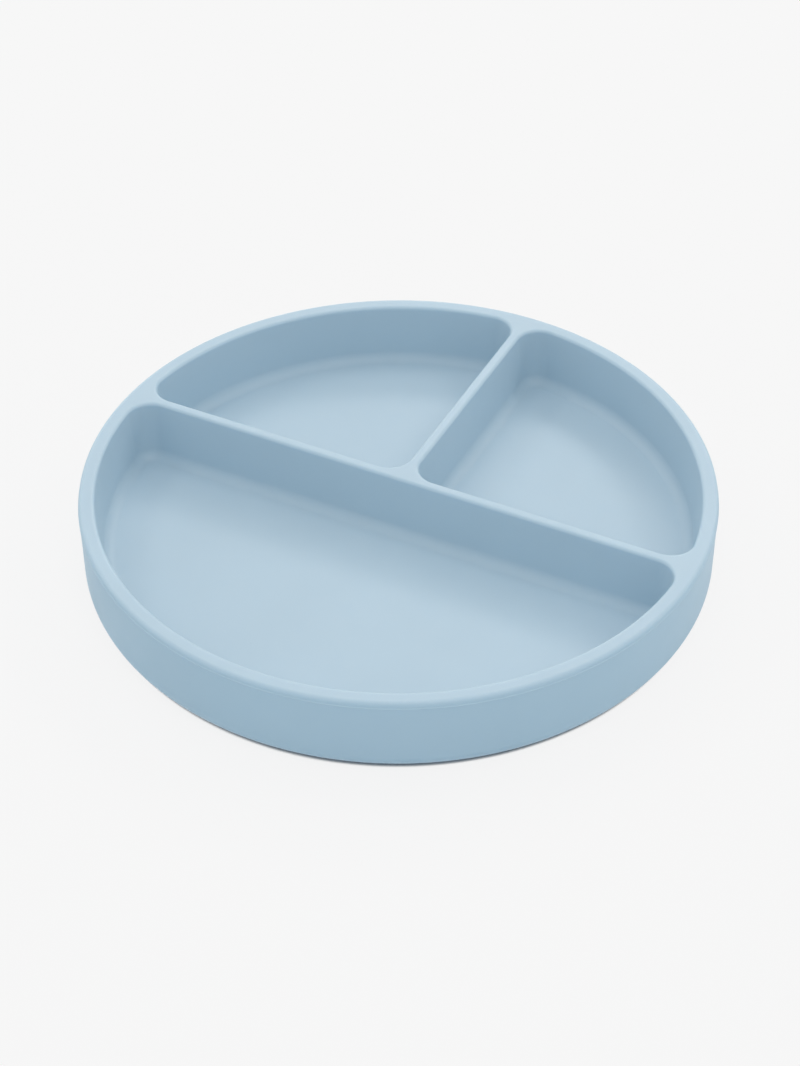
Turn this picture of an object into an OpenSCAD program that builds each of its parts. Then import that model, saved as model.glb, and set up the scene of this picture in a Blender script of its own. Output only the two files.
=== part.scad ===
// Divided plate moulded in one piece from silicone rubber.
// A low round tray with one large and two small compartments, all level with the rim.
// It stands on a thin suction lip under the floor, so the outer wall hangs just clear of the table.
// Millimetres. The origin is on the table under the centre, +Z up, main divider along X,
// large compartment towards -Y.

/* [Overall] */
// Diameter across the widest part of the rim
plate_d = 190; // [160:1:240]
// Height from the table to the top of the rim
plate_h = 27; // [26:0.5:40]

/* [Rim and outer wall] */
// Width of the rim, from its widest part to the sharp edge of a compartment
rim_w = 4.7; // [4:0.1:9]
// Radius of the rim's outer edge
rim_round = 1.3; // [1:0.1:1.5]
// Draft of the outer wall, in degrees
outer_draft = 6; // [0:0.5:8]
// Drop from the rim's top to the mould's parting line
parting_drop = 2; // [1.8:0.1:12]
// Radius of the fine bead that the mould leaves along the parting line
parting_bead = 0.25; // [0.1:0.05:0.5]
// Radius of the outer wall's bottom edge
foot_round = 1.2; // [0.5:0.1:2]
// Gap between the outer wall and the table
foot_gap = 0.8; // [0.5:0.1:1.5]
// Thickness of the outer wall at its bottom edge
skirt_w = 5; // [4:0.1:7]

/* [Compartments] */
// Depth of the compartments
depth = 19.7; // [12:0.1:20.5]
// Draft of the compartments' walls, in degrees
inner_draft = 5; // [2:0.5:8]
// Plan radius of the compartments' corners, at the sharp edge of the mouth
corner_r = 7.5; // [6:0.1:12]
// Radius between a compartment's walls and its floor
floor_fillet = 3.6; // [2:0.1:6]
// Radius of the edge round each compartment's mouth
mouth_round = 1.1; // [0.4:0.1:1.3]

/* [Dividers] */
// Width of the dividers at the top, between the sharp edges
divider_w = 3.2; // [3:0.1:8]
// Distance of the main divider's centre line behind the plate's centre
main_divider_y = 2.9; // [-15:0.1:15]
// Distance of the cross divider's centre line to the right of the plate's centre
cross_divider_x = 0; // [-15:0.1:15]

/* [Underside] */
// Thickness of the floor at the centre
floor_t = 4.5; // [3.5:0.1:5.5]
// Outer diameter of the suction lip
lip_d = 168; // [130:1:168]
// Width of the flat land that the lip stands on
lip_land = 1.6; // [1:0.1:3]
// Thickness of the lip at its edge
lip_edge = 0.9; // [0.6:0.1:1.2]
// Radial run of the lip's sloping back
lip_run = 4; // [2:0.5:8]

/* [Hidden] */
silicone_blue = [0.69, 0.79, 0.85];
$fn = 180;

// Straight pieces that each round edge is drawn with in a profile
arc_steps = 8;
// How far a corner's round starts inside the walls that it blends, so that the surfaces cross
blend_bite = 0.02;
// How far each piece reaches into the material that carries it
root = 1;
// How far a cutter reaches past what it cuts
over = 1;

rim_r = plate_d / 2;
mouth_r = rim_r - rim_w;
floor_z = plate_h - depth;

// Inward run of a compartment's wall from the mouth to the floor
wall_run = depth * tan(inner_draft);
// Ratio of an edge's run to its radius, for an edge that turns through 90 degrees less the draft
turn = tan(45 - inner_draft / 2);
// The fillet stays within the plan corner that it runs round
fillet_r = min(floor_fillet, (corner_r - wall_run) / turn);

// Points of an arc round centre c
function arc(c, r, from, to) =
    [for (i = [0 : arc_steps])
        let (a = from + (to - from) * i / arc_steps)
        c + r * [cos(a), sin(a)]];

// Wall of a compartment from mouth to floor, as [distance in from the sharp edge, height]
wall_profile = concat(
    arc([-mouth_round * turn, plate_h - mouth_round], mouth_round, 90, inner_draft),
    arc([wall_run + fillet_r * turn, floor_z + fillet_r], fillet_r, 180 + inner_draft, 270)
);
mouth_top = wall_profile[0][0];
wall_foot = wall_profile[len(wall_profile) - 1][0];

// Radius of the outer wall's drafted face at height z
wall_tangent = [rim_r - rim_round + rim_round * cos(outer_draft),
                plate_h - rim_round - rim_round * sin(outer_draft)];
function outer_r(z) = wall_tangent[0] - (wall_tangent[1] - z) * tan(outer_draft);

// The outside of the plate below its top face, from the rim down to the skirt's bottom edge
parting_z = plate_h - parting_drop;
foot_z = foot_gap + foot_round;
foot_r = outer_r(foot_z) - foot_round / cos(outer_draft);
outer_profile = concat(
    arc([rim_r - rim_round, plate_h - rim_round], rim_round, 90, -outer_draft),
    arc([outer_r(parting_z), parting_z], parting_bead, 90 - outer_draft, -90 - outer_draft),
    arc([foot_r, foot_z], foot_round, -outer_draft, -90)
);

// The underside, from the skirt's inner edge to the centre of the suction hollow
skirt_r = outer_r(foot_gap) - skirt_w;
hollow_z = floor_z - floor_t;
lip_r = lip_d / 2;
land_r = lip_r - lip_land;
hollow_r = (land_r * land_r + hollow_z * hollow_z) / (2 * hollow_z);
hollow_half = asin(land_r / hollow_r);
skirt_profile = [
    [skirt_r, foot_gap],
    [skirt_r, hollow_z],
    [lip_r - lip_run, hollow_z],
    [lip_r, lip_edge],
    [lip_r, 0]
];
hollow_profile = arc([0, hollow_z - hollow_r], hollow_r, 90 - hollow_half, 90);

// The plate without its compartments
module tray_blank() {
    rotate_extrude()
        polygon(concat([[0, plate_h]], outer_profile, skirt_profile, hollow_profile));
}

// The round hollow that the dividers stand in
module bowl(r) {
    rotate_extrude()
        polygon(concat(
            [[0, plate_h + over], [r - mouth_top, plate_h + over]],
            [for (p = wall_profile) [r - p[0], p[1]]],
            [[0, floor_z]]
        ));
}

// A divider along +X from the origin, with drafted faces and filleted roots
module divider(length) {
    half = divider_w / 2;
    foot = half + wall_foot;
    last = len(wall_profile) - 1;
    rotate([90, 0, 90])
        linear_extrude(length)
            polygon(concat(
                [for (p = wall_profile) [half + p[0], p[1]]],
                [[foot, floor_z - root], [-foot, floor_z - root]],
                [for (i = [last : -1 : 0]) [-half - wall_profile[i][0], wall_profile[i][1]]]
            ));
}

// The main divider from rim to rim, and the cross divider from its middle to the rim at the back
module dividers() {
    reach = mouth_r + root;
    intersection() {
        cylinder(h = plate_h + over, r = reach);
        union() {
            translate([-reach, main_divider_y, 0])
                divider(2 * reach);
            translate([cross_divider_x, main_divider_y, 0])
                rotate([0, 0, 90])
                    divider(reach - main_divider_y);
        }
    }
}

// Where the centres of the corner rounds lie in front of and behind the main divider,
// and beside the cross divider
front_y = main_divider_y - divider_w / 2 - corner_r;
back_y = main_divider_y + divider_w / 2 + corner_r;
left_x = cross_divider_x - divider_w / 2 - corner_r;
right_x = cross_divider_x + divider_w / 2 + corner_r;

// Distance along a divider to the centre of the round next to the rim,
// which lies at distance d to the side of the plate's centre
function along(d) = sqrt(pow(mouth_r - corner_r, 2) - d * d);

// The material that rounds one corner of a compartment, with the centre of the round at c.
// The angles a and b point from c squarely at the two walls.
module corner_blend(c, a, b) {
    reach = corner_r + root;
    middle = (a + b) / 2;
    far = reach / cos((b - a) / 2);
    translate(c)
        difference() {
            translate([0, 0, floor_z - root])
                linear_extrude(depth + root)
                    polygon([
                        [0, 0],
                        reach * [cos(a), sin(a)],
                        far * [cos(middle), sin(middle)],
                        reach * [cos(b), sin(b)]
                    ]);
            bowl(corner_r + blend_bite);
        }
}

// Right-hand corner of the large compartment, between the main divider and the rim
module large_corner() {
    c = [along(front_y), front_y];
    corner_blend(c, 90, atan2(c[1], c[0]));
}

// The three corners of a small compartment that lies to the right of the cross divider,
// with the rounds beside that divider centred at distance x from the plate's centre
module small_corners(x) {
    beside_rim = [along(back_y), back_y];
    behind = [x, along(x)];
    corner_blend([x, back_y], -90, -180);
    corner_blend(beside_rim, -90, atan2(beside_rim[1], beside_rim[0]));
    corner_blend(behind, 180, atan2(behind[1], behind[0]));
}

module plate() {
    color(silicone_blue)
        union() {
            difference() {
                tray_blank();
                bowl(mouth_r);
            }
            dividers();
            large_corner();
            mirror([1, 0, 0]) large_corner();
            small_corners(right_x);
            mirror([1, 0, 0]) small_corners(-left_x);
        }
}

plate();
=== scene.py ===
import math

import bmesh
import bpy
from mathutils import Euler, Matrix, Vector


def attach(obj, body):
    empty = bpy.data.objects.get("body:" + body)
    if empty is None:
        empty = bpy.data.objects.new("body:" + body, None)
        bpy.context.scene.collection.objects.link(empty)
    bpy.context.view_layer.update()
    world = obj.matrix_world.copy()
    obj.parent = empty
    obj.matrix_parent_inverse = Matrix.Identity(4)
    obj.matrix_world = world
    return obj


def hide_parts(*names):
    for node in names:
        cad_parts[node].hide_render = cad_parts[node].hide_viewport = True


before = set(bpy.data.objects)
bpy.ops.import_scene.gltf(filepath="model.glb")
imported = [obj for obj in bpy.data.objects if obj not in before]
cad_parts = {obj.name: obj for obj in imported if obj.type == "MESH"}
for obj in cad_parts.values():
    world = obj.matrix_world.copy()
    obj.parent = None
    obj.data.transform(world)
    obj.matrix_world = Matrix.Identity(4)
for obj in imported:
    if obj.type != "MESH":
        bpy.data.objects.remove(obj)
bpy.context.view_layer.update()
mm = 0.001  # sizes are written in millimetres


# how the plate is made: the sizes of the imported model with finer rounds,
# and an outer wall that stands more upright over a fuller foot
plateSizes = {
    "rimRadius": 95,
    "height": 27,
    "rimWidth": 4.7,  # from the widest part to the sharp edge of a compartment
    "rimRound": 1.3,
    "outerDraft": 0.5,  # degrees
    "partingDrop": 2,  # mould line, below the top of the rim
    "partingStand": 0.18,  # of the mould line's fine ridge beyond the wall
    "partingAbove": 0.32,  # its slope above the mould line
    "partingCrest": 0.02,  # its crest below the line
    "partingBelow": 0.12,  # its foot below the line
    "footRound": 5.6,
    "footGap": 0.8,
    "skirtWidth": 7.4,  # from the outer wall to the skirt's inner edge
    "depth": 19.7,
    "innerDraft": 5,  # degrees
    "cornerRadius": 7.5,
    "floorFillet": 3.6,
    "mouthRound": 1.1,
    "dividerWidth": 3.2,
    "mainDividerY": 2.9,
    "crossDividerX": 0,
    "floorThickness": 4.5,
    "lipRadius": 84,
    "lipLand": 1.6,
    "lipEdge": 0.9,
    "lipRun": 4,
    "underRound": 0.3,
    "turnSteps": 288,  # faces once round the plate
    "cornerStep": 3,  # degrees a face, in the compartments' corners
    "rimSteps": 14,
    "footSteps": 18,
    "hollowSteps": 14,
    "underSteps": 3,
    "filletSteps": 12,
    "mouthSteps": 7,
    "mergeReach": 0.03,  # a cut can leave a vertex this close beside another
    "mouthStrip": 1.35,  # even strip of the top face beside each edge, so that its round runs true
}
sameHeight = 0.002  # how far off a vertex may lie and still count as level
samePoint = 0.002  # vertices this close are one
smallestGap = 0.01  # a shorter run between two rounds is left out
underEdges = {"angle": 32, "below": 6}  # which edges of the blank get the underside's small round
mouthEdges = {"angle": 60, "beyond": 0.5}  # which edges of the top face belong to a compartment
plateCentre = (0, 0)


def tangent(degrees):
    return math.tan(math.radians(degrees))


def around(centre, radius, degrees):
    a = math.radians(degrees)
    return (centre[0] + radius * math.cos(a), centre[1] + radius * math.sin(a))


def bearing(point):
    return math.degrees(math.atan2(point[1], point[0]))


def clearSelection():
    if bpy.context.mode != "OBJECT":
        bpy.ops.object.mode_set(mode="OBJECT")
    bpy.ops.object.select_all(action="DESELECT")


def chooseOnly(piece):
    clearSelection()
    piece.select_set(True)
    bpy.context.view_layer.objects.active = piece


def startFromPoint(name, point):
    # a single vertex in an object that sits at the origin, left in edit mode
    clearSelection()
    bpy.ops.mesh.primitive_plane_add(size=mm, location=(0, 0, 0))
    piece = bpy.context.active_object
    piece.name = name
    piece.data.name = name
    bpy.ops.object.mode_set(mode="EDIT")
    bpy.ops.mesh.select_mode(type="VERT")
    bpy.ops.mesh.select_all(action="SELECT")
    bpy.ops.mesh.merge(type="CENTER")
    bpy.ops.transform.translate(value=[p * mm for p in point])
    return piece


def extrudeBy(step):
    bpy.ops.mesh.extrude_region_move(TRANSFORM_OT_translate={"value": [s * mm for s in step]})


def turnAbout(centre, degrees, steps):
    # the operator turns clockwise for a positive angle, and this function anticlockwise
    bpy.ops.mesh.spin(
        steps=steps,
        angle=-math.radians(degrees),
        center=(centre[0] * mm, centre[1] * mm, 0),
        axis=(0, 0, 1),
    )


def selectEdges(piece, wanted):
    # selects the edges of the mesh in edit mode for which wanted(edge) holds
    bpy.ops.mesh.select_all(action="DESELECT")
    bpy.ops.mesh.select_mode(type="EDGE")
    mesh = bmesh.from_edit_mesh(piece.data)
    count = 0
    for edge in mesh.edges:
        if wanted(edge):
            edge.select_set(True)
            count += 1
    mesh.select_flush_mode()
    bmesh.update_edit_mesh(piece.data)
    return count


def liesAt(edge, height):
    return all(abs(v.co.z - height * mm) < sameHeight * mm for v in edge.verts)


def mergeAndFace():
    bpy.ops.mesh.select_mode(type="VERT")
    bpy.ops.mesh.select_all(action="SELECT")
    bpy.ops.mesh.remove_doubles(threshold=samePoint * mm)
    bpy.ops.mesh.normals_make_consistent(inside=False)


def roundSelected(radius, steps, draft):
    # rounds the selected edges between a level face and a wall with this draft
    bpy.ops.mesh.bevel(
        offset=radius * tangent(45 - draft / 2) * mm,
        offset_type="OFFSET",
        segments=steps,
        profile=0.5,
        affect="EDGES",
        clamp_overlap=False,
    )


def arcPoints(centre, radius, start, end, steps):
    return [around(centre, radius, start + (end - start) * i / steps) for i in range(steps + 1)]


def partingHeights(s):
    # the foot of the ridge's slope above the mould line, its crest, and its foot below
    line = s["height"] - s["partingDrop"]
    return line + s["partingAbove"], line - s["partingCrest"], line - s["partingBelow"]


def plateProfile(s):
    # radius and height of each point, from the rim's top round the outside to the hollow's centre
    draft = s["outerDraft"]
    rimEdge = s["rimRadius"] - s["rimRound"]
    rimCentre = (rimEdge, s["height"] - s["rimRound"])
    wallTop = around(rimCentre, s["rimRound"], -draft)

    def wallRadius(z):
        return wallTop[0] - (wallTop[1] - z) * tangent(draft)

    footZ = s["footGap"] + s["footRound"]
    footRadius = wallRadius(footZ) - s["footRound"] / math.cos(math.radians(draft))
    skirtRadius = wallRadius(s["footGap"]) - s["skirtWidth"]
    hollowZ = s["height"] - s["depth"] - s["floorThickness"]
    land = s["lipRadius"] - s["lipLand"]
    ball = (land * land + hollowZ * hollowZ) / (2 * hollowZ)
    half = math.degrees(math.asin(land / ball))

    points = arcPoints(rimCentre, s["rimRound"], 90, -draft, s["rimSteps"])
    above, crest, below = partingHeights(s)
    points += [
        (wallRadius(above), above),
        (wallRadius(crest) + s["partingStand"], crest),
        (wallRadius(below), below),
    ]
    points += arcPoints((footRadius, footZ), s["footRound"], -draft, -90, s["footSteps"])
    points += [
        (skirtRadius, s["footGap"]),
        (skirtRadius, hollowZ),
        (s["lipRadius"] - s["lipRun"], hollowZ),
        (s["lipRadius"], s["lipEdge"]),
        (s["lipRadius"], 0),
    ]
    points += arcPoints((0, hollowZ - ball), ball, 90 - half, 90, s["hollowSteps"])
    return points


def makeBlank(s):
    # the plate before its compartments: the profile drawn point by point and turned once round
    points = plateProfile(s)
    piece = startFromPoint("plate_silicone", (points[0][0], 0, points[0][1]))
    for here, there in zip(points, points[1:]):
        extrudeBy((there[0] - here[0], 0, there[1] - here[1]))
    bpy.ops.mesh.select_all(action="SELECT")
    turnAbout(plateCentre, 360, s["turnSteps"])
    mergeAndFace()
    selectEdges(piece, lambda edge: edge.is_boundary and liesAt(edge, s["height"]))
    bpy.ops.mesh.edge_face_add()
    mergeAndFace()
    selectEdges(
        piece,
        lambda edge: edge.calc_face_angle(0) > math.radians(underEdges["angle"])
        and max(v.co.z for v in edge.verts) < underEdges["below"] * mm,
    )
    bpy.ops.mesh.bevel(
        offset=s["underRound"] * mm, segments=s["underSteps"], affect="EDGES", clamp_overlap=True
    )
    clearSelection()
    return piece


def compartmentTurns(s):
    # the rounds of each compartment's outline, anticlockwise: centre, first and last bearing
    radius = s["cornerRadius"]
    reach = s["rimRadius"] - s["rimWidth"] - radius
    half = s["dividerWidth"] / 2 + radius

    def along(d):
        return math.sqrt(reach * reach - d * d)

    frontY = s["mainDividerY"] - half
    backY = s["mainDividerY"] + half
    leftX = s["crossDividerX"] - half
    rightX = s["crossDividerX"] + half

    right = (along(frontY), frontY)
    left = (-along(frontY), frontY)
    large = [
        (right, bearing(right), 90),
        (left, 90, bearing(left) % 360),
        (plateCentre, bearing(left) % 360, bearing(right) + 360),
    ]
    side = (along(backY), backY)
    back = (rightX, along(rightX))
    smallRight = [
        ((rightX, backY), 180, 270),
        (side, 270, bearing(side) + 360),
        (plateCentre, bearing(side), bearing(back)),
        (back, bearing(back), 180),
    ]
    side = (-along(backY), backY)
    back = (leftX, along(leftX))
    smallLeft = [
        ((leftX, backY), -90, 0),
        (back, 0, bearing(back)),
        (plateCentre, bearing(back), bearing(side)),
        (side, bearing(side), 270),
    ]
    return {"large": large, "small_right": smallRight, "small_left": smallLeft}


def makeHollow(name, turns, s):
    # the solid that is taken out for one compartment: a drafted wall led round the outline
    over = 1  # reaches above the rim
    run = s["depth"] * tangent(s["innerDraft"])
    lift = over * tangent(s["innerDraft"])
    floorZ = s["height"] - s["depth"]
    mouthRadius = s["rimRadius"] - s["rimWidth"]

    def wallFoot(centre, degrees):
        radius = mouthRadius if centre == plateCentre else s["cornerRadius"]
        return around(centre, radius - run, degrees)

    first = turns[0]
    start = wallFoot(first[0], first[1])
    piece = startFromPoint(name, (start[0], start[1], floorZ))
    slope = around((0, 0), run + lift, first[1])
    extrudeBy((slope[0], slope[1], s["depth"] + over))
    bpy.ops.mesh.select_all(action="SELECT")
    here = start
    for centre, begin, end in turns:
        there = wallFoot(centre, begin)
        gap = (there[0] - here[0], there[1] - here[1], 0)
        if math.hypot(gap[0], gap[1]) > smallestGap:
            extrudeBy(gap)
        stepSize = 360 / s["turnSteps"] if centre == plateCentre else s["cornerStep"]
        turnAbout(centre, end - begin, max(2, round((end - begin) / stepSize)))
        here = wallFoot(centre, end)
    if math.hypot(start[0] - here[0], start[1] - here[1]) > smallestGap:
        extrudeBy((start[0] - here[0], start[1] - here[1], 0))
    bpy.ops.mesh.select_all(action="SELECT")
    bpy.ops.mesh.remove_doubles(threshold=samePoint * mm)
    for height in (floorZ, s["height"] + over):
        selectEdges(piece, lambda edge: edge.is_boundary and liesAt(edge, height))
        bpy.ops.mesh.edge_face_add()
    mergeAndFace()
    selectEdges(piece, lambda edge: liesAt(edge, floorZ))
    roundSelected(s["floorFillet"], s["filletSteps"], s["innerDraft"])
    clearSelection()
    return piece


def cutOut(piece, hollow):
    chooseOnly(piece)
    cut = piece.modifiers.new("compartment", "BOOLEAN")
    cut.operation = "DIFFERENCE"
    cut.solver = "EXACT"
    cut.object = hollow
    bpy.ops.object.modifier_apply(modifier=cut.name)
    bpy.data.objects.remove(hollow)


def roundMouths(piece, s):
    # the soft edge where the top face meets the compartments' walls
    inside = (s["rimRadius"] - s["rimWidth"] + mouthEdges["beyond"]) * mm
    chooseOnly(piece)
    bpy.ops.object.mode_set(mode="EDIT")
    bpy.ops.mesh.select_all(action="SELECT")
    bpy.ops.mesh.remove_doubles(threshold=s["mergeReach"] * mm)
    selectEdges(piece, lambda edge: liesAt(edge, s["height"]))
    bpy.ops.mesh.select_mode(type="FACE")
    bpy.ops.mesh.inset(thickness=s["mouthStrip"] * mm, use_boundary=True, use_even_offset=True)
    count = selectEdges(
        piece,
        lambda edge: liesAt(edge, s["height"])
        and edge.calc_face_angle(0) > math.radians(mouthEdges["angle"])
        and max(v.co.xy.length for v in edge.verts) < inside,
    )
    roundSelected(s["mouthRound"], s["mouthSteps"], s["innerDraft"])
    clearSelection()
    return count


largeFaces = 80  # how much more large faces count in the shading, where 50 is alike


def smoothPiece(piece, s):
    # smooth all over, apart from the fine ridge of the mould line
    chooseOnly(piece)
    bpy.ops.object.shade_smooth()
    bpy.ops.object.mode_set(mode="EDIT")
    for height in partingHeights(s):
        selectEdges(piece, lambda edge: liesAt(edge, height))
        bpy.ops.mesh.mark_sharp()
    bpy.ops.object.mode_set(mode="OBJECT")
    even = piece.modifiers.new("even_shading", "WEIGHTED_NORMAL")
    even.mode = "FACE_AREA"
    even.weight = largeFaces
    even.keep_sharp = True
    bpy.ops.object.modifier_apply(modifier=even.name)


plate = makeBlank(plateSizes)
print("blank:", len(plate.data.polygons), "faces")
for hollowName, turns in compartmentTurns(plateSizes).items():
    cutOut(plate, makeHollow(hollowName, turns, plateSizes))
    print("compartment", hollowName, "cut:", len(plate.data.polygons), "faces")
print("mouth edges rounded:", roundMouths(plate, plateSizes))
smoothPiece(plate, plateSizes)
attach(plate, "root")
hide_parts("plate")


# the silicone: sizes of the texture in millimetres
siliconeLook = {
    "colour": (0.468, 0.608, 0.701),
    "toneSize": 40,  # broad faint clouds of a lighter and a deeper tone
    "toneChange": 0.015,
    "speckSpacing": 4,
    "speckShare": 0.04,  # share of the places that hold a speck
    "speckSize": 0.35,
    "speckCore": 0.6,  # share of its radius that has the full tone
    "speckTone": 0.9,
    "roughness": (0.46, 0.54),
    "patchSize": 8,  # of the smoother and the duller patches
    "grainSize": 0.4,  # the fine texture that the mould leaves
    "grainHeight": 0.004,
    "waveSize": 24,  # slow unevenness of a soft moulding
    "waveHeight": 0.05,
    "refraction": 1.43,
    "specular": 0.5,
    "softness": 0.5,  # share of the light that goes under the skin
    "softnessReach": 2.5,
}


def newMaterial(name):
    material = bpy.data.materials.new(name)
    material.use_nodes = True
    material.node_tree.nodes.clear()
    return material, material.node_tree


def addNode(tree, kind, name, settings=None, inputs=None):
    # an input is a value, or the output socket that it is joined to
    node = tree.nodes.new(kind)
    node.name = name
    node.label = name
    for key, value in (settings or {}).items():
        setattr(node, key, value)
    for key, value in (inputs or {}).items():
        if isinstance(value, bpy.types.NodeSocket):
            tree.links.new(value, node.inputs[key])
        else:
            node.inputs[key].default_value = value
    return node


noiseReach = (0.3, 0.7)  # between which nearly all of a noise texture's values lie


def noiseNode(tree, name, place, size, detail):
    return addNode(
        tree,
        "ShaderNodeTexNoise",
        name,
        inputs={"Vector": place, "Scale": 1 / (size * mm), "Detail": detail, "Roughness": 0.5},
    ).outputs["Fac"]


def rangeNode(tree, name, value, before, after):
    return addNode(
        tree,
        "ShaderNodeMapRange",
        name,
        inputs={
            "Value": value,
            "From Min": before[0],
            "From Max": before[1],
            "To Min": after[0],
            "To Max": after[1],
        },
    ).outputs["Result"]


def mathNode(tree, name, operation, first, second):
    return addNode(
        tree, "ShaderNodeMath", name, {"operation": operation}, {0: first, 1: second}
    ).outputs["Value"]


def makeSilicone(look):
    material, tree = newMaterial("silicone_blue")
    place = addNode(tree, "ShaderNodeTexCoord", "place").outputs["Object"]

    cloud = noiseNode(tree, "tone_clouds", place, look["toneSize"], detail=2)
    change = look["toneChange"]
    tone = rangeNode(tree, "tone_range", cloud, noiseReach, (1 - change, 1 + change))

    cells = addNode(
        tree,
        "ShaderNodeTexVoronoi",
        "speck_places",
        inputs={"Vector": place, "Scale": 1 / (look["speckSpacing"] * mm), "Randomness": 1},
    )
    radius = look["speckSize"] / 2 / look["speckSpacing"]
    core = radius * look["speckCore"]
    spot = rangeNode(tree, "speck_edge", cells.outputs["Distance"], (core, radius), (1, 0))
    draw = addNode(tree, "ShaderNodeSeparateColor", "speck_draw", inputs={"Color": cells.outputs["Color"]})
    chosen = mathNode(tree, "speck_chosen", "LESS_THAN", draw.outputs["Red"], look["speckShare"])
    speck = mathNode(tree, "speck", "MULTIPLY", spot, chosen)
    speckTone = rangeNode(tree, "speck_tone", speck, (0, 1), (1, look["speckTone"]))
    shade = mathNode(tree, "shade", "MULTIPLY", tone, speckTone)
    colour = addNode(
        tree,
        "ShaderNodeVectorMath",
        "colour",
        {"operation": "SCALE"},
        {0: look["colour"], "Scale": shade},
    ).outputs["Vector"]

    patches = noiseNode(tree, "dull_patches", place, look["patchSize"], detail=3)
    roughness = rangeNode(tree, "roughness", patches, noiseReach, look["roughness"])

    wave = noiseNode(tree, "slow_waves", place, look["waveSize"], detail=1)
    waveBump = addNode(
        tree,
        "ShaderNodeBump",
        "wave_bump",
        inputs={"Strength": 1, "Distance": look["waveHeight"] * mm, "Height": wave},
    ).outputs["Normal"]
    grain = noiseNode(tree, "mould_grain", place, look["grainSize"], detail=2)
    grainBump = addNode(
        tree,
        "ShaderNodeBump",
        "grain_bump",
        inputs={"Strength": 1, "Distance": look["grainHeight"] * mm, "Height": grain, "Normal": waveBump},
    ).outputs["Normal"]

    shader = addNode(
        tree,
        "ShaderNodeBsdfPrincipled",
        "silicone",
        inputs={
            "Base Color": colour,
            "Roughness": roughness,
            "Normal": grainBump,
            "IOR": look["refraction"],
            "Specular IOR Level": look["specular"],
            "Subsurface Weight": look["softness"],
            "Subsurface Radius": (1, 1, 1),
            "Subsurface Scale": look["softnessReach"] * mm,
        },
    )
    addNode(tree, "ShaderNodeOutputMaterial", "output", inputs={"Surface": shader.outputs["BSDF"]})
    return material


plate.data.materials.clear()
plate.data.materials.append(makeSilicone(siliconeLook))
print("silicone made")


cameraPlace = {
    "target": (11.13, -21.28, 27.3),
    "distance": 732,
    "azimuth": 26.63,
    "elevation": 40.16,
    "roll": -0.2,
    "lens": 85.1,
    "sensor": 36,
    "nearest": 10,
}


def placeCamera(c):
    clearSelection()
    azimuth = math.radians(c["azimuth"])
    elevation = math.radians(c["elevation"])
    away = (
        math.sin(azimuth) * math.cos(elevation),
        -math.cos(azimuth) * math.cos(elevation),
        math.sin(elevation),
    )
    place = [(t + a * c["distance"]) * mm for t, a in zip(c["target"], away)]
    level = Euler((math.pi / 2 - elevation, 0, azimuth)).to_matrix()
    aim = level @ Matrix.Rotation(math.radians(c["roll"]), 3, "Z")
    bpy.ops.object.camera_add(location=place, rotation=aim.to_euler())
    camera = bpy.context.active_object
    camera.name = "photo_camera"
    camera.rotation_mode = "XYZ"
    camera.data.lens = c["lens"]
    camera.data.sensor_width = c["sensor"]
    camera.data.clip_start = c["nearest"] * mm
    bpy.context.scene.camera = camera


placeCamera(cameraPlace)
print("camera placed")


# soft boxes round the plate: azimuth 0 is in front and 90 at the right, in degrees, metres and watts
studioLights = {
    "high_front": {"azimuth": 45, "elevation": 66, "width": 0.45, "height": 0.45, "power": 3},
    "high_back": {"azimuth": 225, "elevation": 66, "width": 0.45, "height": 0.45, "power": 1.5},
    "back": {"azimuth": 190, "elevation": 39, "width": 0.95, "height": 0.25, "power": 3},
    "back_right": {"azimuth": 140, "elevation": 43, "width": 0.55, "height": 0.25, "power": 1.9},
    "left": {"azimuth": 270, "elevation": 48, "width": 0.85, "height": 0.25, "power": 1.5},
    "low_left": {"azimuth": 255, "elevation": 15, "width": 1.1, "height": 0.4, "power": 1.3},
}
lightDistance = 1.5
lightTint = (1.12, 0.98, 0.89)  # a little warmer than what lies all round


def towards(azimuth, elevation):
    a = math.radians(azimuth)
    e = math.radians(elevation)
    return Vector((math.sin(a) * math.cos(e), -math.cos(a) * math.cos(e), math.sin(e)))


def placeLight(name, light):
    place = towards(light["azimuth"], light["elevation"]) * lightDistance
    clearSelection()
    bpy.ops.object.light_add(
        type="AREA", location=place, rotation=(-place).to_track_quat("-Z", "Y").to_euler()
    )
    lamp = bpy.context.active_object
    lamp.name = "soft_box_" + name
    lamp.data.shape = "RECTANGLE"
    lamp.data.size = light["width"]
    lamp.data.size_y = light["height"]
    lamp.data.energy = light["power"]
    lamp.data.color = lightTint


# the pale table and the white round it, with the plate's contact shadow painted into the table's seen
# colour
tableLook = {
    "size": 4,
    "colour": (0.87, 0.87, 0.87),
    "bounce": (0.74, 0.86, 0.92),  # the light that it throws back onto the plate
    "seenTone": 0.93,  # what the camera and reflections see, where 1 is white
    "seenShare": 0.92,  # the rest is lit by the lamps, and keeps the soft shadow
    "contactReach": 1.6,  # how near the plate has to be, in millimetres
    "contactSamples": 8,
    "contactEdge": (0.64, 0.84),  # how open the table is where the painted contact shadow starts and ends
    # dark colour of the painted contact shadow, where the table is least open
    "paintedContactShade": (0.09, 0.12, 0.15),
    "worldLight": (0.61, 0.66, 0.7),  # what lights the plate from all round
}


def grey(value):
    return (value, value, value, 1)


def mixColours(tree, name, share, first, second):
    # the mix node's colour sockets share their names with others, so they go by number
    return addNode(
        tree,
        "ShaderNodeMix",
        name,
        {"data_type": "RGBA"},
        {0: share, 6: first, 7: second},
    ).outputs[2]


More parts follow.
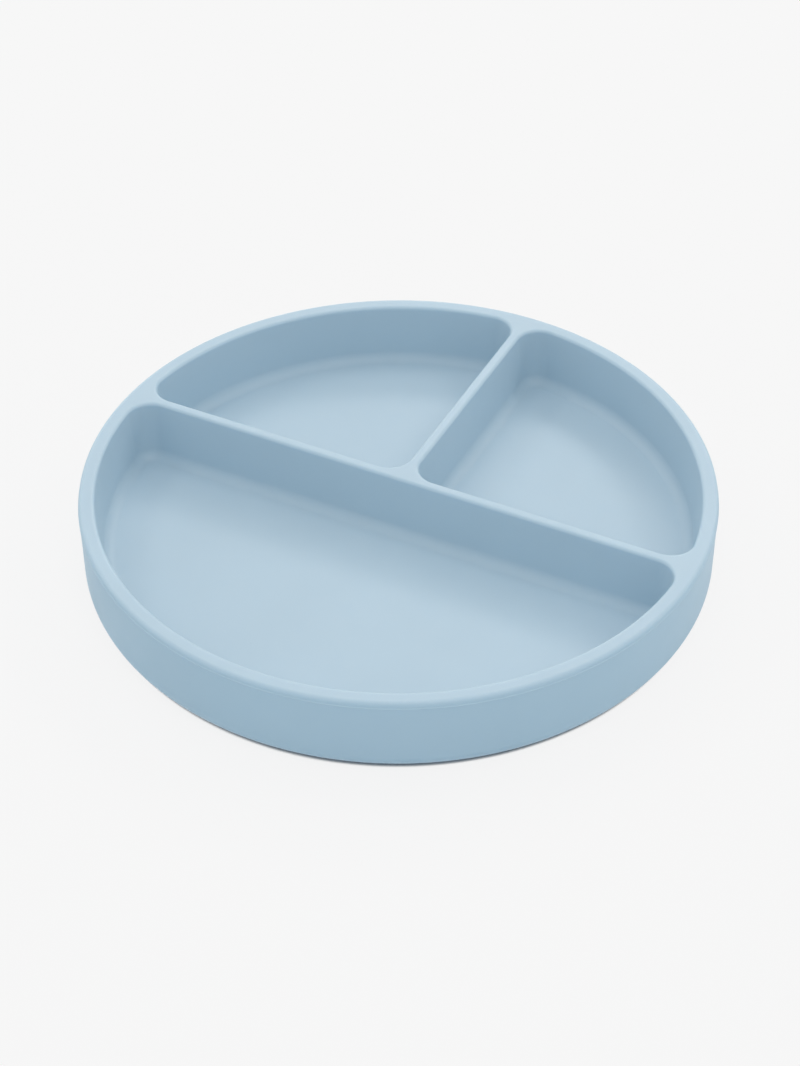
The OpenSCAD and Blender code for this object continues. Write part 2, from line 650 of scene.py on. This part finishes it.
def seenDirectly(tree):
    # 1 for what the camera and reflections look at, 0 for what only lights the plate
    ray = addNode(tree, "ShaderNodeLightPath", "ray").outputs
    seen = mathNode(tree, "camera_or_glossy", "MAXIMUM", ray["Is Camera Ray"], ray["Is Glossy Ray"])
    return mathNode(tree, "seen", "MAXIMUM", seen, ray["Is Transmission Ray"])


def makeTable(look):
    material, tree = newMaterial("table_pale")
    lit = addNode(tree, "ShaderNodeBsdfDiffuse", "lit", inputs={"Color": (*look["colour"], 1)})
    bounce = addNode(tree, "ShaderNodeBsdfDiffuse", "bounce", inputs={"Color": (*look["bounce"], 1)})
    # painted shade: the occlusion mask turns the glowing colour that the camera sees dark under and beside
    # the plate's foot
    near = addNode(
        tree,
        "ShaderNodeAmbientOcclusion",
        "contact",
        {"samples": look["contactSamples"]},
        {"Distance": look["contactReach"] * mm},
    )
    openness = rangeNode(tree, "contact_edge", near.outputs["AO"], look["contactEdge"], (0, 1))
    tone = mixColours(tree, "painted_contact_shade", openness, (*look["paintedContactShade"], 1), grey(look["seenTone"]))
    glow_with_painted_shadow = addNode(tree, "ShaderNodeEmission", "glow_with_painted_shadow", inputs={"Color": tone, "Strength": 1})
    seen = addNode(
        tree,
        "ShaderNodeMixShader",
        "seen_table",
        inputs={0: look["seenShare"], 1: lit.outputs["BSDF"], 2: glow_with_painted_shadow.outputs["Emission"]},
    )
    mix = addNode(
        tree,
        "ShaderNodeMixShader",
        "mix",
        inputs={0: seenDirectly(tree), 1: bounce.outputs["BSDF"], 2: seen.outputs["Shader"]},
    )
    addNode(tree, "ShaderNodeOutputMaterial", "output", inputs={"Surface": mix.outputs["Shader"]})
    return material


def makeWorld(look):
    world = bpy.data.worlds.new("studio_world")
    world.use_nodes = True
    tree = world.node_tree
    tree.nodes.clear()
    lights = (*look["worldLight"], 1)
    tone = mixColours(tree, "tone", seenDirectly(tree), lights, grey(look["seenTone"]))
    background = addNode(tree, "ShaderNodeBackground", "background", inputs={"Color": tone})
    addNode(tree, "ShaderNodeOutputWorld", "output", inputs={"Surface": background.outputs["Background"]})
    return world


for lightName, light in studioLights.items():
    placeLight(lightName, light)
bpy.context.scene.world = makeWorld(tableLook)
clearSelection()
bpy.ops.mesh.primitive_plane_add(size=tableLook["size"], location=(0, 0, 0))
table = bpy.context.active_object
table.name = "table_top"
table.data.materials.append(makeTable(tableLook))
bpy.context.scene.view_settings.view_transform = "Standard"
print("studio set:", len(studioLights), "soft boxes")
